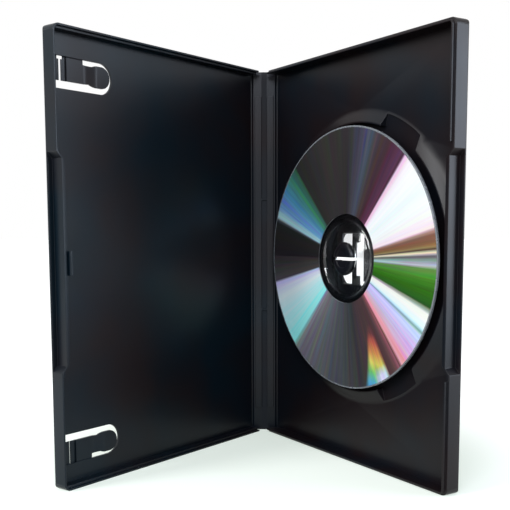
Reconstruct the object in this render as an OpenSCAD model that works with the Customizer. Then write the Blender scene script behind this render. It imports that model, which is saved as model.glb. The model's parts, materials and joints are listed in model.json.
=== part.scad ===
// Keep case for one disc, standing half open like a book.
// One moulding: two panels with low walls, joined to a narrow spine by living hinges,
// with a press-to-release hub, a disc well, leaflet clips, a lipped rim and thumb notches.
// Each half is drawn lying flat as x = distance from its hinge, y = height up the case,
// z = height above its outer face, and is then stood up and swung to its open angle.

/* [Case] */
// Height of the case
case_h = 190; // [170:1:240]
// Width of the closed case, from spine to opening edge
case_w = 135; // [131:1:170]
// Thickness of the closed case
case_t = 14.5; // [12:0.1:20]
// Angle that each half stands open from closed
open_angle = 34.8; // [10:0.1:60]

/* [Walls] */
// Thickness of the flat panels
panel_t = 1.2; // [0.8:0.05:1.6]
// Thickness of the side walls
wall_t = 1.8; // [1.5:0.05:2.4]
// Radius of the two outer corners of each half
corner_r = 3; // [2.5:0.1:6]
// Radius of the long outer edges
edge_r = 1; // [0.4:0.1:1.1]

/* [Rim] */
// Gap between the two rims when the case is shut
rim_gap = 0.3; // [0.1:0.05:0.8]
// Thickness of the lip on the tray's rim
lip_t = 0.8; // [0.5:0.05:0.9]
// Height of the lip above the tray's rim
lip_h = 1.4; // [0.6:0.1:2]
// Side clearance between the lip and the cover's rebate
lip_clear = 0.15; // [0.1:0.05:0.3]
// Distance from the lip's ends to the thumb notch
lip_end = 2.5; // [1.5:0.1:8]

/* [Living hinges] */
// Distance from each hinge line to the thick part of a panel
hinge_gap = 0.35; // [0.25:0.05:0.6]
// Thickness of the hinge web
web_t = 0.35; // [0.2:0.05:0.5]
// Distance that the web stops short of the case's ends
web_inset = 0.6; // [0.2:0.1:4]

/* [Spine] */
// Height of the two stiffening ribs above the spine's inner face
spine_rib_h = 0.8; // [0.3:0.1:1.2]
// Width of each stiffening rib
spine_rib_w = 3.5; // [2:0.1:4]
// Width of the groove between the ribs
spine_groove_w = 2.8; // [1.5:0.1:3.5]
// Distance of the ribs from the ends of the spine
spine_rib_end = 12.5; // [4:0.5:40]
// Distance between the two cross ribs
spine_cross_gap = 58.5; // [20:0.5:120]

/* [Thumb notch] */
// Length of the notch in the opening edge
notch_len = 90; // [50:1:110]
// Depth of the notch
notch_d = 2.6; // [1.5:0.1:3]
// Width of the latch tab in the middle of the notch
latch_w = 10; // [6:0.5:20]
// Thickness of the latch tab
latch_t = 1.1; // [0.8:0.05:1.3]
// Height of the latch tab above the cover's rim
latch_h = 1.9; // [1:0.1:2.4]

/* [Disc] */
// Diameter of the disc
disc_d = 120; // [80:0.5:121]
// Diameter of the hole in the disc
disc_hole_d = 15; // [14:0.1:16.5]
// Thickness of the disc
disc_t = 1.2; // [1:0.05:1.5]

/* [Disc well] */
// Distance of the hub from the middle of the tray's width, towards the opening edge
hub_shift = 1.1; // [0:0.1:1.5]
// Gap between the disc's edge and the raised ring
ring_clear = 1.3; // [0.6:0.1:3]
// Height of the raised ring above the tray's floor
ring_h = 3.2; // [1:0.1:4]
// Width of the flat top of the ring
ring_land = 1; // [0.6:0.1:2]
// Width of the ring's sloping outer side
ring_slope = 6; // [2:0.1:9]
// Distance from the hub to the straight side of the finger recesses
recess_side = 41.5; // [30:0.5:48]
// Angle at which each finger recess begins
recess_angle = 72; // [62:1:80]
// Width of the thin outer rim left round a finger recess
recess_rim = 1.4; // [0.8:0.1:3]

/* [Hub] */
// Radius of the hub's pedestal
hub_r = 19.3; // [18.8:0.1:24]
// Wall thickness of the pedestal
hub_wall = 1.2; // [0.8:0.05:1.6]
// Height of the disc's seat above the tray's outer face
seat_level = 7.2; // [5.5:0.1:8]
// Height of the seat ring above the pedestal's top
seat_h = 0.4; // [0.2:0.05:0.8]
// Width of the seat ring
seat_w = 1.6; // [1:0.1:2.5]
// Width of the window in the pedestal's top
window_w = 25.6; // [22:0.1:27]
// Height of the window in the pedestal's top
window_h = 24.6; // [22:0.1:26]
// Clearance between the jaws and the disc's hole
jaw_clear = 0.3; // [0.2:0.05:0.5]
// Gap between the two jaws
jaw_slit = 1.4; // [1.4:0.1:3]
// How far the jaws' lips reach beyond the disc's hole
lip_grip = 0.2; // [0.1:0.05:0.3]
// Half the angle that each lip spans
lip_span = 30; // [15:1:34]
// Height of the jaws above the disc
jaw_rise = 2; // [1.5:0.1:2.2]
// Wall thickness of the jaws
jaw_wall = 1.3; // [0.9:0.05:1.6]
// Distance from the hub's centre line to the inner side of each jaw leg
leg_inner = 4.2; // [3:0.1:5]
// Width of each jaw leg
leg_w = 2.9; // [2:0.1:4]
// Width added to each leg at its root
leg_flare = 2.9; // [0:0.1:4]
// Length of the wider root of each leg
leg_root = 4; // [2:0.1:5]

/* [Leaflet clips] */
// Distance from the case's top to the middle of the upper clip window
clip_top = 17.6; // [14:0.1:40]
// Distance from the case's foot to the middle of the lower clip window
clip_foot = 15.8; // [14:0.1:40]
// Distance from the opening edge to the near side of each clip window
clip_side = 5.6; // [5.4:0.1:12]
// Height of each clip window
clip_window_h = 13; // [12:0.1:18]
// Length of each clip window
clip_window_l = 30.4; // [26:0.1:40]
// Gap round the clip inside its window
clip_gap = 2; // [1.5:0.1:3]
// Width of the clip's flap
flap_w = 8.8; // [6:0.1:12]
// Width of the thinned strip between the flap and the opening edge
clip_strip = 5.6; // [4:0.1:8]
// Thickness left in the thinned strip
strip_t = 0.4; // [0.3:0.05:0.6]
// Width of the slit along the strip at the upper clip
upper_slit = 1; // [1:0.1:2.4]
// Width of the slit along the strip at the lower clip
lower_slit = 0.3; // [0.3:0.1:2.4]
// Wider slot below the clip's arm
clip_slot = 3.2; // [2.5:0.1:5]
// Height that the clip's pad stands above the panel's outer face
pad_level = 2.2; // [2:0.1:4]
// Length of the pad between its two round ends' centres
pad_l = 2.5; // [1:0.1:4]
// Extra gap between the pad's end and the window's round end
pad_back = 1.2; // [0:0.1:1.5]
// Length of the curved rise between the flap and the pad
clip_ramp = 6; // [4:0.1:7]

/* [Hidden] */
$fn = 96;
// Small step by which a cutting shape passes the face it cuts
over = 1;
// Small depth by which a raised shape is sunk into what it is moulded on
sunk = 0.1;
// Play left where two pieces that bend against each other meet
seat_gap = 0.3;

case_black = "#1c1b1d";
hinge_black = "#232225";
disc_silver = "#b9bcc0";

// The hinge lines run up the outer corners of the spine
hinge_x = case_t / 2;
hinge_y = panel_t / 2;
rim_h = (case_t - rim_gap) / 2;
// Where the walls begin, clear of the shut spine
wall_clear = 0.3;
wall_start = hinge_gap + panel_t + wall_clear;

notch_low = (case_h - notch_len) / 2;
notch_high = (case_h + notch_len) / 2;
notch_face = case_w - notch_d;
notch_inner = notch_face - wall_t;
// Shift of a wall's inner side along a 45 degree bend, for an even thickness
bend_shift = wall_t * tan(22.5);
// Room above the lip's end when the case is shut
rebate_room = 0.2;
rebate_depth = lip_h + rebate_room;
// How much nearer to the notch the rebate runs than the lip
rebate_longer = 1;

latch_clear = 0.3;
latch_outer = notch_inner - latch_clear;
latch_level = rim_h + latch_h;
bead_r = 0.25;
// Distance of the bead from the end of the latch tab
bead_drop = 0.7;
bead_level = latch_level - bead_drop;
catch_level = case_t - bead_level;
// Length of the groove past each end of the bead
groove_play = 0.5;

hub_x = case_w / 2 + hub_shift;
hub_y = case_h / 2;
ring_in = disc_d / 2 + ring_clear;
ring_out = ring_in + ring_land + ring_slope;
ring_top = panel_t + ring_h;

hub_inner = hub_r - hub_wall;
plate_top = seat_level - seat_h;
plate_low = plate_top - panel_t;
// Step between the pedestal's side and its seat ring
seat_step = 0.8;
seat_out = hub_r - seat_step;
window_corner = 2;

hole_r = disc_hole_d / 2;
disc_top = seat_level + disc_t;
jaw_r = hole_r - jaw_clear;
jaw_top = disc_top + jaw_rise;
jaw_in = jaw_r - jaw_wall;
lip_r = hole_r + lip_grip;
// Shape of a jaw's top: rounded shoulder, dished middle and lip
shoulder_w = 1.7;
shoulder_h = 1.1;
shoulder_turn = 0.5;
dish = 0.4;
dish_edge = 3;
lip_clear_up = 0.15;
lip_low = disc_top + lip_clear_up;
lip_face = 0.4;
lip_slope = 0.5;
leg_end = window_h / 2 - seat_gap;

window_near = case_w - clip_side;
window_far = window_near - clip_window_l;
window_round = clip_window_h / 2;
window_turn = window_far + window_round;
pad_r = window_round - clip_gap;
pad_x = window_turn + pad_back;
flap_near = window_near - clip_strip;
flap_far = flap_near - flap_w;
// How much narrower the arm is than its pad, on each side
neck = 1.2;
ramp_steps = 12;
strip_middle = flap_near + clip_strip / 2;
flap_low = clip_slot - window_round;
flap_top = window_round - seat_gap;
// The hole that ends the slit beside the upper clip
slit_hole_w = 2.8;
slit_hole_h = 1.2;

// Stands a half up, swings it to its open angle and puts its hinge line at the spine's corner
module tray_side() {
    translate([hinge_x, hinge_y, 0])
        rotate([0, 0, open_angle - 90])
            rotate([90, 0, 0])
                children();
}

module cover_side() {
    mirror([1, 0, 0])
        tray_side()
            children();
}

// Place of the upper leaflet clip, whose window has its middle on the x axis
module at_upper_clip() {
    translate([0, case_h - clip_top, 0])
        children();
}

module at_lower_clip() {
    translate([0, clip_foot, 0])
        mirror([0, 1, 0])
            children();
}

module corner_cut(r) {
    difference() {
        translate([-over, -over])
            square(r + over);
        translate([r, r])
            circle(r);
    }
}

// Plan of a half, this far inside its outer edge and open towards the hinge
module inset_plan(inset, start) {
    r = corner_r - inset;
    far = case_w - inset;
    translate([start, inset])
        square([far - r - start, case_h - 2 * inset]);
    translate([far - 2 * r, inset + r])
        square([2 * r, case_h - 2 * inset - 2 * r]);
    for (y = [inset + r, case_h - inset - r])
        translate([far - r, y])
            circle(r);
}

// Section across a half, with the hinge chamfer and the rounded opening edge
module width_section() {
    difference() {
        polygon([
            [hinge_gap, 0],
            [case_w, 0],
            [case_w, rim_h],
            [wall_start, rim_h],
            [wall_start, panel_t],
            [hinge_gap + panel_t, panel_t]
        ]);
        translate([case_w, 0])
            mirror([1, 0])
                corner_cut(edge_r);
    }
}

module height_section() {
    difference() {
        square([case_h, rim_h]);
        corner_cut(edge_r);
        translate([case_h, 0])
            mirror([1, 0])
                corner_cut(edge_r);
    }
}

module half_block() {
    intersection() {
        linear_extrude(rim_h)
            inset_plan(0, 0);
        translate([0, case_h, 0])
            rotate([90, 0, 0])
                linear_extrude(case_h)
                    width_section();
        rotate([90, 0, 90])
            linear_extrude(case_w)
                height_section();
    }
}

// Plan of the thumb notch, with its face this far from the hinge line
module notch_plan(face, shift, reach) {
    polygon([
        [reach, notch_low - shift - (reach - case_w)],
        [reach, notch_high + shift + (reach - case_w)],
        [face, notch_high + shift - (case_w - face)],
        [face, notch_low - shift + (case_w - face)]
    ]);
}

module cavity_plan() {
    difference() {
        inset_plan(wall_t, -over);
        notch_plan(notch_inner, wall_t - bend_shift, case_w);
    }
}

// A half with its walls and the thumb notch, before anything else is added
module half_shell() {
    difference() {
        half_block();
        translate([0, 0, panel_t])
            linear_extrude(rim_h)
                cavity_plan();
        translate([0, 0, panel_t])
            linear_extrude(rim_h)
                notch_plan(notch_face, 0, case_w + over);
    }
}

// The part of the rim that carries the lip or its rebate, clear of the notch
module rim_zone(end) {
    difference() {
        translate([wall_start, 0])
            square([case_w, case_h]);
        translate([case_w - 3 * wall_t, notch_low - end])
            square([4 * wall_t, notch_len + 2 * end]);
    }
}

module rim_lip() {
    translate([0, 0, panel_t])
        linear_extrude(rim_h + lip_h - panel_t)
            intersection() {
                rim_zone(lip_end);
                difference() {
                    inset_plan(wall_t - lip_t, 0);
                    inset_plan(wall_t, -over);
                }
            }
}

module rim_rebate() {
    translate([0, 0, rim_h - rebate_depth])
        linear_extrude(rebate_depth + over)
            intersection() {
                translate([-over, 0])
                    union() {
                        square([2 * over + wall_start, case_h]);
                        translate([over, 0])
                            rim_zone(lip_end - rebate_longer);
                    }
                inset_plan(wall_t - lip_t - lip_clear, -over);
            }
}

// Tab that passes inside the tray's notch wall, with a small bead on its outer side
module latch_tab() {
    translate([latch_outer - latch_t, (case_h - latch_w) / 2, panel_t - sunk])
        cube([latch_t, latch_w, latch_level - panel_t + sunk]);
    translate([latch_outer - sunk, (case_h - latch_w) / 2, panel_t - sunk])
        cube([latch_clear + 2 * sunk, latch_w, rim_h - rebate_depth - panel_t]);
    translate([latch_outer, (case_h + latch_w) / 2, bead_level])
        rotate([90, 0, 0])
            cylinder(r = bead_r, h = latch_w);
}

// Groove in the tray's notch wall that the latch bead drops into
module latch_groove() {
    translate([notch_inner, (case_h + latch_w) / 2 + groove_play, catch_level])
        rotate([90, 0, 0])
            cylinder(r = 2 * bead_r, h = latch_w + 2 * groove_play);
}

// Everything here is drawn round the hub's centre
module at_hub() {
    translate([hub_x, hub_y, 0])
        children();
}

module finger_recess() {
    near = ring_in / 2;
    far = ring_out + over;
    linear_extrude(ring_top + over)
        intersection() {
            circle(ring_out - recess_rim);
            polygon([
                [near / tan(recess_angle), near],
                [recess_side, near],
                [recess_side, far],
                [far / tan(recess_angle), far]
            ]);
        }
}

// Raised ring round the disc, with a sloping outer side and two finger recesses
module disc_well() {
    start = wall_start + spine_rib_h;
    intersection() {
        translate([start, wall_t, sunk])
            cube([notch_inner + sunk - start, case_h - 2 * wall_t, ring_top]);
        at_hub()
            difference() {
                rotate_extrude()
                    polygon([
                        [ring_in, 2 * sunk],
                        [ring_out, 2 * sunk],
                        [ring_out, panel_t],
                        [ring_in + ring_land, ring_top],
                        [ring_in, ring_top]
                    ]);
                translate([0, 0, panel_t])
                    finger_recess();
                mirror([0, 1, 0])
                    translate([0, 0, panel_t])
                        finger_recess();
            }
    }
}

module rounded_window(w, h, r) {
    translate([-w / 2 + r, -h / 2])
        square([w - 2 * r, h]);
    translate([-w / 2, -h / 2 + r])
        square([w, h - 2 * r]);
    for (x = [-1, 1])
        for (y = [-1, 1])
            translate([x * (w / 2 - r), y * (h / 2 - r)])
                circle(r);
}

// Hollow pedestal, open at the back of the tray, with a seat ring and the jaws' window
module hub_pedestal() {
    difference() {
        union() {
            cylinder(r = hub_r, h = plate_top);
            cylinder(r = seat_out, h = seat_level);
        }
        translate([0, 0, plate_top])
            cylinder(r = seat_out - seat_w, h = seat_h + over);
    }
}

module hub_hollow() {
    translate([0, 0, -over])
        cylinder(r = hub_inner, h = plate_low + over);
    linear_extrude(seat_level + over)
        rounded_window(window_w, window_h, window_corner);
}

// Half-round head of the upper jaw, hollow from behind, with its lip
module jaw_head() {
    difference() {
        union() {
            rotate_extrude()
                polygon([
                    [0, plate_low],
                    [jaw_r, plate_low],
                    [jaw_r, jaw_top - shoulder_h],
                    [jaw_r - shoulder_turn, jaw_top - dish],
                    [jaw_r - shoulder_w, jaw_top],
                    [0, jaw_top]
                ]);
            intersection() {
                rotate_extrude()
                    polygon([
                        [jaw_r - shoulder_turn, lip_low],
                        [jaw_r, lip_low],
                        [lip_r, lip_low + lip_grip],
                        [lip_r, lip_low + lip_grip + lip_face],
                        [jaw_r, lip_low + lip_grip + lip_face + lip_slope],
                        [jaw_r - shoulder_turn, lip_low + lip_grip + lip_face + lip_slope]
                    ]);
                linear_extrude(jaw_top)
                    polygon([
                        [0, 0],
                        [-2 * jaw_r * tan(lip_span), 2 * jaw_r],
                        [2 * jaw_r * tan(lip_span), 2 * jaw_r]
                    ]);
            }
        }
        translate([0, 0, plate_low - over])
            cylinder(r = jaw_in, h = jaw_top - jaw_wall - plate_low + over);
        translate([0, 0, jaw_top - dish])
            cylinder(r = jaw_r - dish_edge, h = over);
        translate([-2 * jaw_r, jaw_slit / 2 - 4 * jaw_r, plate_low - over])
            cube([4 * jaw_r, 4 * jaw_r, jaw_top]);
    }
}

// Legs that carry the upper jaw from the pedestal's top plate
module jaw_legs() {
    translate([0, 0, plate_low])
        linear_extrude(panel_t)
            difference() {
                union() {
                    for (side = [-1, 1])
                        translate([side * (leg_inner + leg_w / 2) - leg_w / 2, jaw_slit / 2])
                            square([leg_w, leg_end - jaw_slit / 2]);
                    translate([-leg_inner - leg_w - leg_flare, leg_end - leg_root])
                        square([2 * (leg_inner + leg_w + leg_flare), leg_root]);
                }
                translate([-leg_inner, leg_end - leg_root - over])
                    square([2 * leg_inner, leg_root + 2 * over]);
                circle(jaw_in);
            }
}

module hub_jaw() {
    jaw_head();
    jaw_legs();
}

// Window under a clip, with a round end towards the spine. Beside the slit it is only thinned.
module clip_window(slit) {
    translate([0, 0, -over])
        linear_extrude(panel_t + 2 * over) {
            translate([window_turn, -window_round])
                square([window_near - window_turn, clip_slot]);
            translate([window_turn, -window_round])
                square([strip_middle + slit / 2 - window_turn, clip_window_h]);
            translate([window_turn, 0])
                circle(window_round);
        }
    translate([window_turn, -window_round, strip_t])
        linear_extrude(panel_t)
            square([window_near - window_turn, clip_window_h]);
}

// Wider hole at the root's end of the upper clip's slit
module slit_hole() {
    translate([strip_middle - slit_hole_w / 2, window_round - slit_hole_h, -over])
        cube([slit_hole_w, slit_hole_h, panel_t + over]);
}

// Side view of the clip's arm: level in the panel, then an even S-shaped rise to its pad
module clip_profile() {
    rise = [
        for (i = [0:ramp_steps])
            [flap_far - clip_ramp * i / ramp_steps, pad_level * (1 - cos(180 * i / ramp_steps)) / 2]
    ];
    tip = [pad_x - pad_r, pad_level];
    polygon(concat(
        [[flap_near, panel_t], [flap_near, 0]],
        rise,
        [tip],
        [[tip[0], tip[1] + panel_t]],
        [for (i = [ramp_steps:-1:0]) rise[i] + [0, panel_t]]
    ));
}

module clip_plan() {
    polygon([
        [flap_near, flap_low],
        [flap_near, flap_top],
        [flap_far, flap_top],
        [flap_far, window_round - clip_gap],
        [pad_x, pad_r - neck],
        [pad_x, neck - pad_r],
        [flap_far, flap_low]
    ]);
    for (x = [pad_x, pad_x + pad_l])
        translate([x, 0])
            circle(pad_r);
    translate([pad_x, -pad_r])
        square([pad_l, 2 * pad_r]);
}

// Clip with its flap, its raised pad and the thinned strip along its side
module leaflet_clip(slit) {
    intersection() {
        linear_extrude(pad_level + panel_t + over)
            clip_plan();
        translate([0, clip_window_h, 0])
            rotate([90, 0, 0])
                linear_extrude(2 * clip_window_h)
                    clip_profile();
    }
    translate([flap_near - sunk, flap_low, 0])
        cube([strip_middle - slit / 2 - flap_near + sunk, flap_top - flap_low, strip_t]);
}

module spine_section() {
    inner = hinge_x - hinge_gap - panel_t;
    polygon([
        [-hinge_x + hinge_gap, hinge_y],
        [hinge_x - hinge_gap, hinge_y],
        [inner, -hinge_y],
        [-inner, -hinge_y]
    ]);
}

// Narrow spine strip with two low ribs inside and two cross ribs between them
module spine() {
    color(case_black)
        union() {
            linear_extrude(case_h)
                spine_section();
            for (side = [-1, 1])
                translate([
                    side * (spine_groove_w + spine_rib_w) / 2 - spine_rib_w / 2,
                    -hinge_y - spine_rib_h,
                    spine_rib_end
                ])
                    cube([spine_rib_w, spine_rib_h + sunk, case_h - 2 * spine_rib_end]);
            for (side = [-1, 1])
                translate([
                    -spine_groove_w / 2 - sunk,
                    -hinge_y - spine_rib_h,
                    case_h / 2 + side * spine_cross_gap / 2 - panel_t / 2
                ])
                    cube([spine_groove_w + 2 * sunk, spine_rib_h + sunk, panel_t]);
        }
}

// Thin bent strip that joins the spine to one half, meeting both along their chamfers
module hinge_web() {
    out = [sin(open_angle), -cos(open_angle)];
    inward = [-cos(open_angle), -sin(open_angle)];
    line = [hinge_x, hinge_y];
    half_bend = (90 + open_angle) / 2;
    middle = [out[0] - 1, out[1]] / norm([out[0] - 1, out[1]]);
    color(hinge_black)
        translate([0, 0, web_inset])
            linear_extrude(case_h - 2 * web_inset)
                polygon([
                    line,
                    line + [-hinge_gap, 0],
                    line + [-hinge_gap - web_t, -web_t],
                    line + middle * web_t / sin(half_bend),
                    line + out * (hinge_gap + web_t) + inward * web_t,
                    line + out * hinge_gap
                ]);
}

module hinge_web_tray() {
    hinge_web();
}

module hinge_web_front() {
    mirror([1, 0, 0])
        hinge_web();
}

module front_cover() {
    color(case_black)
        cover_side()
            difference() {
                union() {
                    difference() {
                        half_shell();
                        rim_rebate();
                    }
                    latch_tab();
                }
                at_upper_clip() {
                    clip_window(upper_slit);
                    slit_hole();
                }
                at_lower_clip()
                    clip_window(lower_slit);
            }
}

module leaflet_clip_upper() {
    color(case_black)
        cover_side()
            at_upper_clip()
                difference() {
                    leaflet_clip(upper_slit);
                    slit_hole();
                }
}

module leaflet_clip_lower() {
    color(case_black)
        cover_side()
            at_lower_clip()
                leaflet_clip(lower_slit);
}

module disc_tray() {
    color(case_black)
        tray_side()
            difference() {
                union() {
                    half_shell();
                    rim_lip();
                    disc_well();
                    at_hub()
                        hub_pedestal();
                }
                at_hub()
                    hub_hollow();
                latch_groove();
            }
}

module hub_jaw_upper() {
    color(case_black)
        tray_side()
            at_hub()
                hub_jaw();
}

module hub_jaw_lower() {
    color(case_black)
        tray_side()
            at_hub()
                mirror([0, 1, 0])
                    hub_jaw();
}

module disc() {
    color(disc_silver)
        tray_side()
            at_hub()
                translate([0, 0, seat_level])
                    difference() {
                        cylinder(r = disc_d / 2, h = disc_t);
                        translate([0, 0, -over])
                            cylinder(r = hole_r, h = disc_t + 2 * over);
                    }
}

spine();
hinge_web_front();
hinge_web_tray();
front_cover();
leaflet_clip_upper();
leaflet_clip_lower();
disc_tray();
hub_jaw_upper();
hub_jaw_lower();
disc();
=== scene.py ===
import json
import math

import bpy
import numpy as np
from mathutils import Matrix, Vector


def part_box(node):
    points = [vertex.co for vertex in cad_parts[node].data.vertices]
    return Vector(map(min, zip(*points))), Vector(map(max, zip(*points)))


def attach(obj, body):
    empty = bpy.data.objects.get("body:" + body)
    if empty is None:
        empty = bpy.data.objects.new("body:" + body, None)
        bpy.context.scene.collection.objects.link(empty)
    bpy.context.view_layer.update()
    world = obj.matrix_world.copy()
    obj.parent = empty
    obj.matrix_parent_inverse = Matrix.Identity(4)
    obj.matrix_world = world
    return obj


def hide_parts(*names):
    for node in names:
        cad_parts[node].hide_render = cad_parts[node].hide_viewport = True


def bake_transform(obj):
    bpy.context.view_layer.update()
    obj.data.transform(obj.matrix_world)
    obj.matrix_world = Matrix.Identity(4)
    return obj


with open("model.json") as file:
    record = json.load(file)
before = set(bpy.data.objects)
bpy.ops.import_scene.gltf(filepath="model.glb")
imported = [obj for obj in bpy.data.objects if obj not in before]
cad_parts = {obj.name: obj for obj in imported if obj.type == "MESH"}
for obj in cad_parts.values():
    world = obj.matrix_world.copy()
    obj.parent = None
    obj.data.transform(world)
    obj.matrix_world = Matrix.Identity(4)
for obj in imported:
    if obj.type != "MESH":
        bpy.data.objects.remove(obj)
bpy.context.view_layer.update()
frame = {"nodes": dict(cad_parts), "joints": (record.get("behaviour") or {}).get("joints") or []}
scene = bpy.context.scene
MM = 0.001

# Place of the case in the picture
# The case stands half open on a pale floor, its mouth towards the camera, which looks down a little
# from just above its middle. The lens is shifted up as far as the framing needs.
PICTURE_PX = 510
SENSOR = 36.0
FOCAL_PX = 841.25
CENTRE_PX = (256.24, 318.2)
CAMERA_PLACE = Vector((17.34, -450.2, 109.04)) * MM
CAMERA_YAW, CAMERA_PITCH, CAMERA_ROLL = (math.radians(x) for x in (2.77, -6.1, 0.15))


def rotation(angle, axis):
    """Rotation by an angle about one of the three axes, as a 4 by 4 matrix."""
    return Matrix.Rotation(angle, 4, axis)


camera = bpy.data.objects.new("camera", bpy.data.cameras.new("camera"))
scene.collection.objects.link(camera)
camera.data.sensor_width = SENSOR
camera.data.lens = FOCAL_PX / PICTURE_PX * SENSOR
camera.data.shift_x = 0.5 - CENTRE_PX[0] / PICTURE_PX
camera.data.shift_y = CENTRE_PX[1] / PICTURE_PX - 0.5
camera.data.clip_start, camera.data.clip_end = 0.01, 100
camera.matrix_world = (
    Matrix.Translation(CAMERA_PLACE)
    @ rotation(CAMERA_YAW, "Z")
    @ rotation(CAMERA_PITCH, "X")
    @ rotation(CAMERA_ROLL, "Y")
    @ rotation(math.radians(90), "X")
)
scene.camera = camera
scene.view_settings.view_transform = "Standard"


# Floor and light
# A pale floor under a white surround, as on a studio table. Close to the case it has a painted shadow, a
# little darker and a little green, that fades out to white. Three soft boxes light it: the key from the
# front left, a cool one from the front that reaches into the open case, and a cool one from the right.
FLOOR_PALE = "#b6b8b5"
SHADOW_GREEN = "#e9f4e7"
SHADOW_LIFT = 0.56
FOOTPRINT_MIDDLE = (0, -57 * MM, 0)
PAINTED_SHADOW_NEAR, PAINTED_SHADOW_FAR = 95 * MM, 190 * MM
SURROUND_FILL = 0.46
WHITE = (1, 1, 1, 1)
CASE_MIDDLE = Vector((0, -50, 90)) * MM
LAMP_DISTANCE = 1.1


def linear(colour):
    """An sRGB hex value such as #1c1b1d as linear red, green, blue and full alpha."""
    srgb = np.array([int(colour[i : i + 2], 16) for i in (1, 3, 5)]) / 255
    low = srgb / 12.92
    high = ((srgb + 0.055) / 1.055) ** 2.4
    return (*np.where(srgb <= 0.04045, low, high), 1.0)


def add_node(tree, kind, sockets=None, links=None, **settings):
    """Adds a shader node with its settings, the values of its sockets, and the links into it."""
    made = tree.nodes.new("ShaderNode" + kind)
    for name, value in settings.items():
        setattr(made, name, value)
    for socket, value in (sockets or {}).items():
        made.inputs[socket].default_value = value
    for socket, source in (links or {}).items():
        tree.links.new(source, made.inputs[socket])
    return made


def new_material(name):
    """A material with an empty node tree and its output node."""
    made = bpy.data.materials.new(name)
    made.use_nodes = True
    made.node_tree.nodes.clear()
    return made, made.node_tree, add_node(made.node_tree, "OutputMaterial")


def sees_background(tree):
    """1 for rays from the camera, a reflection or a clear piece, which show the surround as white."""
    path = add_node(tree, "LightPath")
    total = path.outputs["Is Camera Ray"]
    for kind in ("Is Glossy Ray", "Is Transmission Ray"):
        either = add_node(
            tree, "Math", links={0: total, 1: path.outputs[kind]}, operation="ADD", use_clamp=True
        )
        total = either.outputs[0]
    return total


world = bpy.data.worlds.new("white_surround")
scene.world = world
world.use_nodes = True
world.node_tree.nodes.clear()
fill = add_node(world.node_tree, "Background", {"Color": WHITE, "Strength": SURROUND_FILL})
white = add_node(world.node_tree, "Background", {"Color": WHITE, "Strength": 1.0})
surround = add_node(
    world.node_tree,
    "MixShader",
    links={0: sees_background(world.node_tree), 1: fill.outputs[0], 2: white.outputs[0]},
)
add_node(world.node_tree, "OutputWorld", links={"Surface": surround.outputs[0]})

floor_paint, tree, output = new_material("matt_white_floor")
paint = add_node(tree, "BsdfDiffuse", {"Color": linear(FLOOR_PALE)})
place = add_node(tree, "TexCoord").outputs["Object"]
reach = add_node(tree, "VectorMath", {1: FOOTPRINT_MIDDLE}, {0: place}, operation="DISTANCE")
# Painted shadow: near the case's footprint the lift is lower and a little green, and it fades out to white
# further away
fade = add_node(
    tree, "MapRange", {"From Min": PAINTED_SHADOW_NEAR, "From Max": PAINTED_SHADOW_FAR}, {"Value": reach.outputs["Value"]}
)
ground = add_node(
    tree,
    "Mix",
    {6: tuple(x * SHADOW_LIFT for x in linear(SHADOW_GREEN)), 7: WHITE},
    {0: fade.outputs[0]},
    data_type="RGBA",
)
lift = add_node(tree, "Emission", {"Strength": 1.0}, {"Color": ground.outputs[2]})
dark = add_node(tree, "Emission", {"Strength": 0.0})
seen = add_node(tree, "MixShader", links={0: sees_background(tree), 1: dark.outputs[0], 2: lift.outputs[0]})
both = add_node(tree, "AddShader", links={0: paint.outputs[0], 1: seen.outputs[0]})
tree.links.new(both.outputs[0], output.inputs["Surface"])

FLOOR_HALF = 8.0
FLOOR_CORNERS = ((-1, -1), (1, -1), (1, 1), (-1, 1))
floor_mesh = bpy.data.meshes.new("floor")
floor_mesh.from_pydata([(x * FLOOR_HALF, y * FLOOR_HALF, 0) for x, y in FLOOR_CORNERS], [], [(0, 1, 2, 3)])
floor_mesh.materials.append(floor_paint)
floor = bpy.data.objects.new("floor", floor_mesh)
scene.collection.objects.link(floor)


def soft_box(name, azimuth, elevation, width, height, brightness, colour="#ffffff"):
    """An area lamp that faces the case. Its power is brightness times pi times its area."""
    lamp = bpy.data.objects.new(name, bpy.data.lights.new(name, "AREA"))
    scene.collection.objects.link(lamp)
    lamp.data.shape = "RECTANGLE"
    lamp.data.size, lamp.data.size_y = width, height
    lamp.data.energy = brightness * math.pi * width * height
    lamp.data.color = linear(colour)[:3]
    a, e = math.radians(azimuth), math.radians(elevation)
    away = Vector((math.cos(a) * math.cos(e), math.sin(a) * math.cos(e), math.sin(e)))
    lamp.location = away * LAMP_DISTANCE + CASE_MIDDLE
    lamp.rotation_euler = away.to_track_quat("Z", "Y").to_euler()
    lamp.visible_camera = False


soft_box("key_box", azimuth=213, elevation=31, width=0.3, height=0.75, brightness=13.0)
soft_box("front_box", azimuth=262, elevation=30, width=0.7, height=0.4, brightness=12.0, colour="#e4ebfa")
soft_box("right_box", azimuth=-12, elevation=8, width=0.5, height=0.8, brightness=11.5, colour="#d6e2f2")


# Case moulding
# The two panels, the spine between them, the leaflet clips and the hub's jaws come out of one mould.
# It is black polypropylene, moulded against a lightly textured steel tool, so it is satin and not shiny.
CASE_BLACK_AND_COOL_REFLECTION = "#08131a"
CASE_BLACK_AND_WARM_REFLECTION = "#130d0f"
TRAY_WARMER = 1.2
CASE_EDGE = 0.15 * MM
TINT_PATCH_MM = 45
SPINE_GROOVE_HALF = 1.4 * MM
GROOVE_ROUGHER = 0.35
WELD_REACH = 0.002 * MM
FLAT_WITHIN = math.radians(0.5)
EDGE_FROM = math.radians(35)
CASE_NODES = (
    "spine",
    "front_cover",
    "disc_tray",
    "leaflet_clip_upper",
    "leaflet_clip_lower",
    "hub_jaw_upper",
    "hub_jaw_lower",
)


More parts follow.
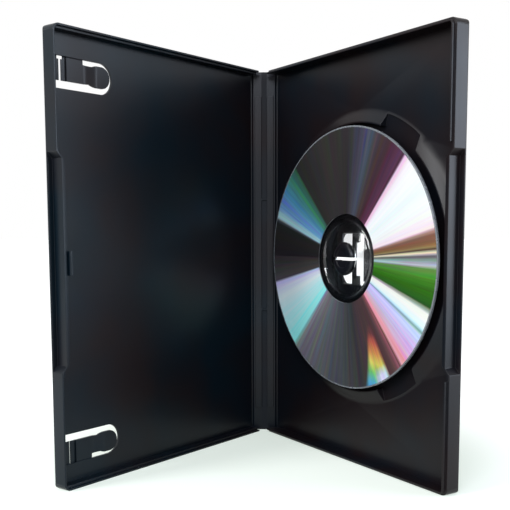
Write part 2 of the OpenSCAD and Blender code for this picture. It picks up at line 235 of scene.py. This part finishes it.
def satin_polypropylene(name, roughness, grain_mm, groove_half=0.0):
    """Black polypropylene: a fine grain from the tool, and slow changes of gloss where it cooled unevenly.
    The same slow noise turns the tint between a cool and a warm black, which paints reflections on it. The
    tint also gets warmer along X, as a metre adds TRAY_WARMER to the noise behind it: painted light, cooler
    on the cover and warmer on the tray. Between two ribs, as far as groove_half from the middle, the tool
    keeps its rough cut, which shines less."""
    made, tree, output = new_material(name)
    place = add_node(tree, "TexCoord").outputs["Object"]
    slow = add_node(
        tree,
        "TexNoise",
        {"Scale": 1 / (TINT_PATCH_MM * MM), "Detail": 2.0, "Roughness": 0.5},
        {"Vector": place},
    )
    fine = add_node(
        tree,
        "TexNoise",
        {"Scale": 1 / (grain_mm * MM), "Detail": 2.0, "Roughness": 0.6},
        {"Vector": place},
    )
    gloss = add_node(
        tree,
        "MapRange",
        {"From Min": 0.3, "From Max": 0.7, "To Min": roughness - 0.04, "To Max": roughness + 0.05},
        {"Value": slow.outputs["Fac"]},
    )
    side = add_node(tree, "SeparateXYZ", links={0: place}).outputs["X"]
    off_middle = add_node(tree, "Math", links={0: side}, operation="ABSOLUTE")
    in_groove = add_node(tree, "Math", {1: groove_half}, {0: off_middle.outputs[0]}, operation="LESS_THAN")
    gloss = add_node(
        tree,
        "Math",
        {1: GROOVE_ROUGHER},
        {0: in_groove.outputs[0], 2: gloss.outputs[0]},
        operation="MULTIPLY_ADD",
    )
    # Painted reflection and light: the tint follows the slow noise and leans warmer along X, cooler on the
    # cover and warmer on the tray
    lean = add_node(
        tree, "Math", {1: TRAY_WARMER}, {0: side, 2: slow.outputs["Fac"]}, operation="MULTIPLY_ADD"
    )
    shade = add_node(tree, "MapRange", {"From Min": 0.35, "From Max": 0.65}, {"Value": lean.outputs[0]})
    tone = add_node(
        tree,
        "Mix",
        {6: linear(CASE_BLACK_AND_COOL_REFLECTION), 7: linear(CASE_BLACK_AND_WARM_REFLECTION)},
        {0: shade.outputs[0]},
        data_type="RGBA",
    )
    grain = add_node(
        tree, "Bump", {"Strength": 0.12, "Distance": 0.02 * MM}, {"Height": fine.outputs["Fac"]}
    )
    skin = add_node(
        tree,
        "BsdfPrincipled",
        {"IOR": 1.49, "Specular IOR Level": 0.19},
        {"Base Color": tone.outputs[2], "Roughness": gloss.outputs[0], "Normal": grain.outputs[0]},
    )
    tree.links.new(skin.outputs[0], output.inputs["Surface"])
    return made


case_plastic = satin_polypropylene("satin_black_polypropylene", roughness=0.33, grain_mm=0.35)
ribbed_plastic = satin_polypropylene(
    "ribbed_black_polypropylene", roughness=0.3, grain_mm=0.35, groove_half=SPINE_GROOVE_HALF
)
for name in CASE_NODES:
    moulding = frame["nodes"][name]
    moulding.data.materials.clear()
    moulding.data.materials.append(ribbed_plastic if name == "spine" else case_plastic)
    # The triangles are welded and joined into flat faces first, so that only true edges are rounded
    weld = moulding.modifiers.new("weld", "WELD")
    weld.merge_threshold = WELD_REACH
    flats = moulding.modifiers.new("flats", "DECIMATE")
    flats.decimate_type = "DISSOLVE"
    flats.angle_limit = FLAT_WITHIN
    moulding.modifiers.new("triangles", "TRIANGULATE")
    edges = moulding.modifiers.new("edges", "BEVEL")
    edges.width = CASE_EDGE
    edges.segments = 2
    edges.angle_limit = EDGE_FROM
    edges.use_clamp_overlap = False
    edges.loop_slide = False
    shading = moulding.modifiers.new("shading", "WEIGHTED_NORMAL")
    shading.mode = "FACE_AREA_WITH_ANGLE"
    shading.keep_sharp = False


# Living hinges
# Each half hangs on the spine by a thin web of the same polypropylene, run thin in the mould so that
# it bends for years. Flexing has drawn it smooth, so it shines a little more than the panels.
WEB = 0.35 * MM
WEB_GAP = 0.35 * MM
WEB_ARC_STEPS = 12

flexed_plastic = satin_polypropylene("flexed_black_polypropylene", roughness=0.27, grain_mm=0.6)
joints = {joint["name"]: joint for joint in frame["joints"]}
open_angle = math.radians(-joints["tray_hinge"]["range_deg"][0])


def link_solid(name, mesh, *materials):
    """Puts a mesh into the scene as an object at the origin, with its materials."""
    mesh.validate()
    for skin in materials:
        mesh.materials.append(skin)
    solid = bpy.data.objects.new(name, mesh)
    scene.collection.objects.link(solid)
    return solid


def tube_mesh(name, rings):
    """A closed solid from rings of points: rings[i, j] is point j of ring i. Each ring is joined to
    the next by a band of four-sided faces, and the first and last rings are closed by end faces."""
    count, around = rings.shape[:2]
    index = np.arange(count * around).reshape(count, around)
    ahead = np.roll(index, -1, axis=1)
    bands = np.stack([index[:-1], ahead[:-1], ahead[1:], index[1:]], axis=-1).reshape(-1, 4)
    mesh = bpy.data.meshes.new(name)
    ends = [index[0, ::-1].tolist(), index[-1].tolist()]
    mesh.from_pydata(rings.reshape(-1, 3).tolist(), [], bands.tolist() + ends)
    return mesh


def hinge_profile(side):
    """Plan of a web: an arc tangent to the spine's and the half's outer faces, the same arc moved in by
    the web's thickness, and a short foot on each chamfer. Runs anticlockwise seen from above."""
    line = np.array(joints["tray_hinge"]["pos_m"][:2])
    along_spine = np.array([-1.0, 0.0])
    along_half = np.array([math.sin(open_angle), -math.cos(open_angle)])
    inward_half = np.array([-math.cos(open_angle), -math.sin(open_angle)])
    bend = math.pi / 2 - open_angle
    radius = WEB_GAP / math.tan(bend / 2)
    middle = line + along_spine * WEB_GAP + np.array([0.0, -radius])
    angle = np.linspace(math.pi / 2, math.pi / 2 - bend, WEB_ARC_STEPS)[:, None]
    out = np.hstack([np.cos(angle), np.sin(angle)])
    outer = middle + radius * out
    inner = middle + (radius - WEB) * out
    spine_foot = line + along_spine * (WEB_GAP + WEB) + np.array([0.0, -WEB])
    half_foot = line + along_half * (WEB_GAP + WEB) + inward_half * WEB
    profile = np.vstack([outer, [half_foot], inner[::-1], [spine_foot]])[::-1]
    return profile if side > 0 else profile[::-1] * [-1, 1]


WEBS = (
    (1, "hinge_web_tray", "tray_hinge", "tray_body"),
    (-1, "hinge_web_front", "cover_hinge", "cover_body"),
)
for side, node, joint, half in WEBS:
    low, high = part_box(node)
    profile = hinge_profile(side)
    heights = np.linspace(low[2], high[2], 2)
    rings = np.stack([np.column_stack([profile, np.full(len(profile), z)]) for z in heights])
    web = link_solid("bent_" + node, tube_mesh(node, rings), flexed_plastic)
    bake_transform(web)
    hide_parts(node)


# Flexing roots
# The leaflet clips and the hub's jaws are cantilevers in the same moulding. At its root each one runs
# on into the panel, thinned a little from both faces so that it bends there.
ROOT_GAP = 0.3 * MM
ROOT_SUNK = 0.04 * MM
PANEL = 1.2 * MM
ROOT_WAIST = 0.8
ROOT_RINGS = 7


def flexing_root(name, joint, offset, width, depth=0, thickness=PANEL):
    """Bridge over the gap at a cantilever's root: its thickness, less a share that follows a squared
    cosine across the gap. Offset and width run along the joint's axis, and depth runs square to it."""
    axis = np.array(joints[joint]["axis"])
    rise = np.array([0.0, 0.0, 1.0])
    across = np.cross(rise, axis)
    middle = np.array(joints[joint]["pos_m"]) + axis * offset + across * depth
    t = np.linspace(-1, 1, ROOT_RINGS)
    thin = (1 - ROOT_WAIST) * np.cos(t * math.pi / 2) ** 2
    half_thick = thickness / 2 * (1 - thin) - ROOT_SUNK
    corners = np.array([(-1, -1), (1, -1), (1, 1), (-1, 1)])
    rings = (
        middle
        + rise * (t * (ROOT_GAP / 2 + ROOT_SUNK))[:, None, None]
        + axis * (corners[None, :, :1] * (width / 2 - ROOT_SUNK))
        + across * (corners[None, :, 1:] * half_thick[:, None, None])
    )
    root = link_solid(name, tube_mesh(name, rings), case_plastic)
    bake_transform(root)


CLIP_FLAP = 8.8 * MM
JAW_FOOT = 5.8 * MM
JAW_FOOT_OFFSET = 7.1 * MM
CLIP_STRIP = 0.4 * MM
UPPER_STRIP_W, LOWER_STRIP_W = 1.4 * MM, 2.65 * MM
for end, towards_panel, strip_w in (("upper", 1, UPPER_STRIP_W), ("lower", -1, LOWER_STRIP_W)):
    bend, clip = f"{end}_clip_flex", f"clip_{end}_body"
    flexing_root(f"clip_root_{end}", bend, 0, CLIP_FLAP)
    beside = towards_panel * (CLIP_FLAP + strip_w) / 2
    deeper = towards_panel * (CLIP_STRIP - PANEL) / 2
    flexing_root(
        f"clip_strip_root_{end}",
        bend,
        beside,
        strip_w,
        deeper,
        CLIP_STRIP,
    )
    bend, jaw = f"{end}_jaw_press", f"jaw_{end}_body"
    for foot, offset in (("near", -JAW_FOOT_OFFSET), ("far", JAW_FOOT_OFFSET)):
        flexing_root(f"jaw_root_{end}_{foot}", bend, offset, JAW_FOOT)


# Disc
# A disc of clear polycarbonate, 120 mm across, with its recording side out. Aluminium is sputtered on
# its far side from the hub zone to just short of the rim, over a spiral of pits too fine to see.
DISC_HOLE = 7.5 * MM
DISC_CLEAR = 20.5 * MM
DISC_RIM = 59.3 * MM
DISC_STEPS = 360
STACK_RING = 17.2 * MM
STACK_RING_HALF = 0.6 * MM
STACK_RING_RISE = 0.2 * MM
DISC_EDGE = 0.15 * MM
DISC_THICK = 1.2 * MM
DISC_FLAT = np.array([DISC_CLEAR, 23 * MM, 30 * MM, 40 * MM, 50 * MM, DISC_RIM])
RING_STEPS, EDGE_STEPS = 9, 4

along = np.array([math.sin(open_angle), -math.cos(open_angle), 0])
up = np.array([0.0, 0.0, 1.0])
outward = np.array([-math.cos(open_angle), -math.sin(open_angle), 0])
disc_low, disc_high = (np.array(corner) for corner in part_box("disc"))
disc_centre = (disc_low + disc_high) / 2
disc_r = (disc_high[2] - disc_low[2]) / 2


def arc(centre, radius, start, end, steps):
    """Points of a circular arc as rows of distance and height, from one angle to another in degrees."""
    t = np.radians(np.linspace(start, end, steps))
    return np.column_stack([centre[0] + radius * np.cos(t), centre[1] + radius * np.sin(t)])


def disc_profile():
    """Half section of the disc, once round: hole, recording side with its stacking ring, rim, label side."""
    top, low, edge = DISC_THICK / 2, -DISC_THICK / 2, DISC_EDGE
    t = np.linspace(0, math.pi, RING_STEPS)
    ring = np.column_stack(
        [STACK_RING - STACK_RING_HALF * np.cos(t), top + STACK_RING_RISE * np.sin(t)]
    )
    return np.vstack(
        [
            arc((DISC_HOLE + edge, low + edge), edge, 270, 180, EDGE_STEPS),
            arc((DISC_HOLE + edge, top - edge), edge, 180, 90, EDGE_STEPS),
            ring,
            np.column_stack([DISC_FLAT, np.full(len(DISC_FLAT), top)]),
            arc((disc_r - edge, top - edge), edge, 90, 0, EDGE_STEPS),
            arc((disc_r - edge, low + edge), edge, 0, -90, EDGE_STEPS),
            np.column_stack([DISC_FLAT[::-1], np.full(len(DISC_FLAT), low)]),
        ]
    )


def disc_mesh(name):
    """The half section turned about the disc's axis: a point is the centre, plus its distance along a
    spoke at its turn, plus its height outwards. The map holds the turn by the distance from the middle."""
    profile = disc_profile()
    turns = np.radians(np.arange(DISC_STEPS) * 360 / DISC_STEPS - 180)
    spokes = np.outer(np.cos(turns), along) + np.outer(np.sin(turns), up)
    points = (
        disc_centre
        + spokes[:, None, :] * profile[None, :, :1]
        + outward * profile[None, :, 1:]
    )
    count = len(profile)
    index = np.arange(DISC_STEPS * count).reshape(DISC_STEPS, count)
    ahead = np.roll(index, -1, axis=0)
    faces = np.stack(
        [index, np.roll(index, -1, axis=1), np.roll(ahead, -1, axis=1), ahead], axis=-1
    ).reshape(-1, 4)
    mesh = bpy.data.meshes.new(name)
    mesh.from_pydata(points.reshape(-1, 3).tolist(), [], faces.tolist())
    share = np.arange(DISC_STEPS + 1) / DISC_STEPS
    reach = profile[:, 0] / disc_r
    u0, u1 = share[:-1, None], share[1:, None]
    v0, v1 = reach[None, :], np.roll(reach, -1)[None, :]
    shape = (DISC_STEPS, count)
    corners = [(u0, v0), (u0, v1), (u1, v1), (u1, v0)]
    pairs = [np.stack([np.broadcast_to(u, shape), np.broadcast_to(v, shape)], axis=-1) for u, v in corners]
    uv = np.stack(pairs, axis=2)
    layer = mesh.uv_layers.new(name="turn_and_reach")
    layer.data.foreach_set("uv", uv.astype(np.float32).ravel())
    middle = (profile[:, 0] + np.roll(profile[:, 0], -1)) / 2
    height = (profile[:, 1] + np.roll(profile[:, 1], -1)) / 2
    # 0 clear, 1 aluminised, 2 lacquered, 3 rim: the order in which the disc is given its materials
    coated = (middle > DISC_CLEAR) & (middle < DISC_RIM)
    kind = np.where(coated & (height > 0), 1, np.where(coated, 2, 0))
    kind = np.where(middle >= DISC_RIM, 3, kind)
    mesh.polygons.foreach_set("material_index", np.tile(kind, DISC_STEPS).astype(np.int32))
    mesh.polygons.foreach_set("use_smooth", np.ones(len(mesh.polygons), bool))
    mesh.update()
    return mesh


# The fans of colour on the recording side, painted lamp light: where each begins and ends, in degrees from
# the disc's right round by its top, and its colours across at even steps. They are split over three colour
# ramps, because a ramp holds 32 stops. GROUND is the tone between the fans, a painted reflection, lighter
# and darker round the turn.
LOW_FANS = [
    (-54, -49.5, ("#4c3034", "#7a444c")),
    (-48.5, -31, ("#e08a98", "#cdb0d6", "#bfcdf8")),
    (-29, -20, ("#c6e6f0", "#f0f3ec", "#ecefe4")),
    (-18.5, -2.5, ("#274f1c", "#28620f", "#3c7a22", "#5c9040")),
    (-1.5, 2, ("#b4ccc0", "#5f7376")),
]
HIGH_FANS = [
    (3.5, 5, ("#f4eccc", "#e2d2a4")),
    (6, 12.5, ("#94704a", "#7c4f3a", "#9a6a54")),
    (14, 48, ("#f4dde1", "#eef0ec", "#f2f4f2", "#e9f2ee", "#f2f3f1", "#f1eff1", "#e6bfd6")),
    (50, 58, ("#5a2f48", "#472838")),
]
LEFT_FANS = [
    (-166.5, -132.5, ("#d6d2fb", "#f0ffff", "#d2ffff", "#b4fffb", "#98fff8")),
    (-131, -127, ("#8a949a", "#7a787e")),
    (133, 161, ("#2c5a48", "#3f8a6c", "#5289b4", "#6c98cc", "#b4dcd8")),
]
GROUND = [
    (-180, "#34302f"),
    (-126, "#77757a"),
    (-100, "#4b4f52"),
    (-78, "#302e30"),
    (-64, "#402c2e"),
    (60, "#3c262e"),
    (66, "#40302f"),
    (73, "#46485a"),
    (88, "#272423"),
    (180, "#252223"),
]
FAN_FEATHER = 0.8
# The rainbow streak at the lower right, lamp light split by the pits and painted like the fans, in degrees
# round the disc and millimetres in from its rim. Its left side leans over by STREAK_LEAN degrees a
# millimetre, and its hues span
# STREAK_SPREAD millimetres.
STREAK_COLOURS = ("#3468b8", "#4a9cb0", "#6cae5c", "#ccba5c", "#c8824c", "#b45446", "#6c3438")
STREAK_LILAC = "#cbc6e4"
STREAK_LEFT, STREAK_RIGHT = -75, -57
STREAK_LENGTH = 27
STREAK_LEAN = 0.45
STREAK_SPREAD = 32
STREAK_HUE_TURN = 0.02
LEFT_SOFT, RIGHT_SOFT, INNER_SOFT = 2.5, 2, 7
LILAC_LENGTH, LILAC_LEFT, LILAC_SOFT = 7, -67, 4
DISC_R_MM = 60
# Painted rays of light along the spokes, about 2 degrees wide, drawn coarser than real ones so that they
# show
RAY_SCALE = 26.0
RAY_SLANT = 0.04
RAY_STRENGTH = 0.9


def place_of(angle):
    """Where an angle in degrees lies on the map's turn, which runs from 0 at -180 to 1 at 180 degrees."""
    return (angle + 180) / 360


def fan_stops(fans):
    """Each fan's colours at even steps, with a short feather from nothing at both of its sides."""
    stops = []
    for start, end, colours in fans:
        stops.append((place_of(start - FAN_FEATHER), colours[0], 0.0))
        steps = np.linspace(start, end, len(colours))
        stops += [(place_of(angle), colour, 1.0) for angle, colour in zip(steps, colours)]
        stops.append((place_of(end + FAN_FEATHER), colours[-1], 0.0))
    return stops


def set_stops(ramp, rows):
    """Sets a colour ramp's stops from rows of place, from 0 to 1, colour and strength."""
    stops = ramp.color_ramp.elements
    for i, (place, colour, strength) in enumerate(rows):
        stop = stops[i] if i < 2 else stops.new(place)
        stop.position = place
        stop.color = (*linear(colour)[:3], strength)


def cut_off(tree, strength, distance, soft):
    """A strength that falls to nothing where a distance does, over a soft width."""
    edge = add_node(tree, "Math", {1: soft}, {0: distance}, operation="DIVIDE", use_clamp=True)
    cut = add_node(tree, "Math", links={0: strength, 1: edge.outputs[0]}, operation="MULTIPLY")
    return cut.outputs[0]


def rainbow_streak(tree, turn, reach, tone):
    """The streak laid over a tone. Its hue is the distance in from the rim over the spread, plus a share
    of the angle, from blue to red. It is cut off softly at its two sides and its inner end, and its outer
    right corner is lilac."""
    degrees = add_node(tree, "Math", {1: 360.0, 2: -180.0}, {0: turn}, operation="MULTIPLY_ADD").outputs[0]
    drop = add_node(
        tree, "Math", {1: -DISC_R_MM, 2: DISC_R_MM}, {0: reach}, operation="MULTIPLY_ADD"
    ).outputs[0]
    from_left = add_node(tree, "Math", {1: -STREAK_LEFT}, {0: degrees}, operation="ADD").outputs[0]
    by_drop = add_node(tree, "Math", {1: STREAK_SPREAD}, {0: drop}, operation="DIVIDE")
    by_turn = add_node(tree, "Math", {1: STREAK_HUE_TURN}, {0: from_left}, operation="MULTIPLY")
    hue = add_node(tree, "Math", links={0: by_drop.outputs[0], 1: by_turn.outputs[0]}, operation="ADD")
    rainbow = add_node(tree, "ValToRGB", links={0: hue.outputs[0]})
    last = len(STREAK_COLOURS) - 1
    set_stops(rainbow, [(i / last, colour, 1.0) for i, colour in enumerate(STREAK_COLOURS)])

    lean = add_node(tree, "Math", {1: STREAK_LEAN}, {0: drop}, operation="MULTIPLY")
    inside = add_node(tree, "Math", links={0: from_left, 1: lean.outputs[0]}, operation="SUBTRACT")
    to_right = add_node(tree, "Math", {0: STREAK_RIGHT}, {1: degrees}, operation="SUBTRACT")
    to_inner = add_node(tree, "Math", {0: STREAK_LENGTH}, {1: drop}, operation="SUBTRACT")
    to_lilac_end = add_node(tree, "Math", {0: LILAC_LENGTH}, {1: drop}, operation="SUBTRACT")
    from_lilac = add_node(tree, "Math", {1: -LILAC_LEFT}, {0: degrees}, operation="ADD")
    left = add_node(tree, "Math", {1: LEFT_SOFT}, {0: inside.outputs[0]}, operation="DIVIDE", use_clamp=True)
    mask = cut_off(tree, left.outputs[0], to_right.outputs[0], RIGHT_SOFT)
    mask = cut_off(tree, mask, to_inner.outputs[0], INNER_SOFT)
    pale = cut_off(tree, mask, to_lilac_end.outputs[0], LILAC_SOFT)
    pale = cut_off(tree, pale, from_lilac.outputs[0], LILAC_SOFT)
    laid = add_node(
        tree,
        "Mix",
        links={0: mask, 6: tone, 7: rainbow.outputs["Color"]},
        data_type="RGBA",
    )
    return add_node(
        tree,
        "Mix",
        {7: linear(STREAK_LILAC)},
        {0: pale, 6: laid.outputs[2]},
        data_type="RGBA",
    ).outputs[2]


def aluminised_polycarbonate():
    """Mirror under clear plastic. Its pits split the light of each lamp into a pair of opposite fans. They
    are painted round the disc, so they stay in place, where on a real disc they wander with the eye."""
    made, tree, output = new_material("aluminised_polycarbonate")
    polar = add_node(tree, "UVMap", uv_map="turn_and_reach")
    parts = add_node(tree, "SeparateXYZ", links={0: polar.outputs[0]})
    turn, reach = parts.outputs["X"], parts.outputs["Y"]
    ground = add_node(tree, "ValToRGB", links={0: turn})
    set_stops(ground, [(place_of(angle), colour, 1.0) for angle, colour in GROUND])
    tone = ground.outputs["Color"]
    for fans in (LEFT_FANS, LOW_FANS, HIGH_FANS):
        ramp = add_node(tree, "ValToRGB", links={0: turn})
        set_stops(ramp, fan_stops(fans))
        links = {0: ramp.outputs["Alpha"], 6: tone, 7: ramp.outputs["Color"]}
        tone = add_node(tree, "Mix", links=links, data_type="RGBA").outputs[2]
    tone = rainbow_streak(tree, turn, reach, tone)

    around = add_node(tree, "Math", {1: 2 * math.pi}, {0: turn}, operation="MULTIPLY").outputs[0]
    spoke_x = add_node(tree, "Math", links={0: around}, operation="COSINE")
    spoke_y = add_node(tree, "Math", links={0: around}, operation="SINE")
    slant = add_node(tree, "Math", {1: RAY_SLANT}, {0: reach}, operation="MULTIPLY")
    place = add_node(
        tree, "CombineXYZ", links={0: spoke_x.outputs[0], 1: spoke_y.outputs[0], 2: slant.outputs[0]}
    )
    rays = add_node(
        tree, "TexNoise", {"Scale": RAY_SCALE, "Detail": 3.0, "Roughness": 0.7}, {"Vector": place.outputs[0]}
    )
    tone = add_node(
        tree,
        "Mix",
        {0: RAY_STRENGTH},
        {6: tone, 7: rays.outputs["Color"]},
        data_type="RGBA",
        blend_type="OVERLAY",
    ).outputs[2]
    tangent = add_node(tree, "Tangent", direction_type="UV_MAP", uv_map="turn_and_reach")
    skin = add_node(
        tree,
        "BsdfPrincipled",
        {
            "Metallic": 0.2,
            "Roughness": 0.34,
            "Anisotropic": 0.7,
            "Coat Weight": 1.0,
            "Coat Roughness": 0.03,
            "Coat IOR": 1.58,
        },
        {"Base Color": tone, "Tangent": tangent.outputs[0]},
    )
    tree.links.new(skin.outputs[0], output.inputs["Surface"])
    return made


def uneven_gloss(tree, roughness, spread, patch_mm):
    """Roughness that varies slowly by a spread, from patches of a size: what moulding and fingers leave."""
    place = add_node(tree, "TexCoord").outputs["Object"]
    patches = add_node(tree, "TexNoise", {"Scale": 1 / (patch_mm * MM), "Detail": 4.0}, {"Vector": place})
    return add_node(
        tree,
        "MapRange",
        {"From Min": 0.35, "From Max": 0.65, "To Min": roughness - spread, "To Max": roughness + spread},
        {"Value": patches.outputs["Fac"]},
    )


def edge_lit_polycarbonate():
    """The clear band outside the aluminium. It pipes light from the whole disc, so its edge looks pale: that
    glow is painted into its grey tone, and the sprue and the vents of the mould leave it a little uneven
    round the turn."""
    made, tree, output = new_material("edge_lit_polycarbonate")
    gloss = uneven_gloss(tree, roughness=0.25, spread=0.08, patch_mm=6)
    place = add_node(tree, "TexCoord").outputs["Object"]
    cloud = add_node(tree, "TexNoise", {"Scale": 1 / (9 * MM), "Detail": 2.0}, {"Vector": place})
    # Painted glow: the pale grey stands in for the light the rim pipes from the disc
    tone = add_node(
        tree,
        "Mix",
        {6: linear("#7d8286"), 7: linear("#9da2a6")},
        {0: cloud.outputs["Fac"]},
        data_type="RGBA",
    )
    skin = add_node(
        tree,
        "BsdfPrincipled",
        {"IOR": 1.58, "Transmission Weight": 0.5},
        {"Base Color": tone.outputs[2], "Roughness": gloss.outputs[0]},
    )
    tree.links.new(skin.outputs[0], output.inputs["Surface"])
    return made


def clear_polycarbonate():
    """Clear, hard and glossy, as it comes from a polished mould, with a faint haze where fingers hold it."""
    made, tree, output = new_material("clear_polycarbonate")
    haze = uneven_gloss(tree, roughness=0.04, spread=0.03, patch_mm=7)
    skin = add_node(
        tree,
        "BsdfPrincipled",
        {
            "Base Color": linear("#f4f6f8"),
            "IOR": 1.58,
            "Specular IOR Level": 0.15,
            "Transmission Weight": 1.0,
        },
        {"Roughness": haze.outputs[0]},
    )
    tree.links.new(skin.outputs[0], output.inputs["Surface"])
    return made


def silver_lacquer():
    """The bare label side: lacquer screened over the aluminium. The screen's threads, drawn at 0.6 mm where
    real ones lie 0.1 mm apart so that they show, leave it a fine even grain, matt and slightly clouded."""
    made, tree, output = new_material("screened_silver_lacquer")
    gloss = uneven_gloss(tree, roughness=0.45, spread=0.07, patch_mm=20)
    place = add_node(tree, "TexCoord").outputs["Object"]
    flakes = add_node(tree, "TexNoise", {"Scale": 1 / (0.6 * MM), "Detail": 2.0}, {"Vector": place})
    cloud = add_node(tree, "TexNoise", {"Scale": 1 / (25 * MM), "Detail": 3.0}, {"Vector": place})
    tone = add_node(
        tree,
        "Mix",
        {6: linear("#9c9ea1"), 7: linear("#b6b8bb")},
        {0: cloud.outputs["Fac"]},
        data_type="RGBA",
    )
    grain = add_node(
        tree, "Bump", {"Strength": 0.15, "Distance": 0.02 * MM}, {"Height": flakes.outputs["Fac"]}
    )
    skin = add_node(
        tree,
        "BsdfPrincipled",
        {"Metallic": 0.4},
        {"Base Color": tone.outputs[2], "Roughness": gloss.outputs[0], "Normal": grain.outputs[0]},
    )
    tree.links.new(skin.outputs[0], output.inputs["Surface"])
    return made


disc = link_solid(
    "disc_with_ring",
    disc_mesh("disc"),
    clear_polycarbonate(),
    aluminised_polycarbonate(),
    silver_lacquer(),
    edge_lit_polycarbonate(),
)
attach(disc, "tray_body")
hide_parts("disc")
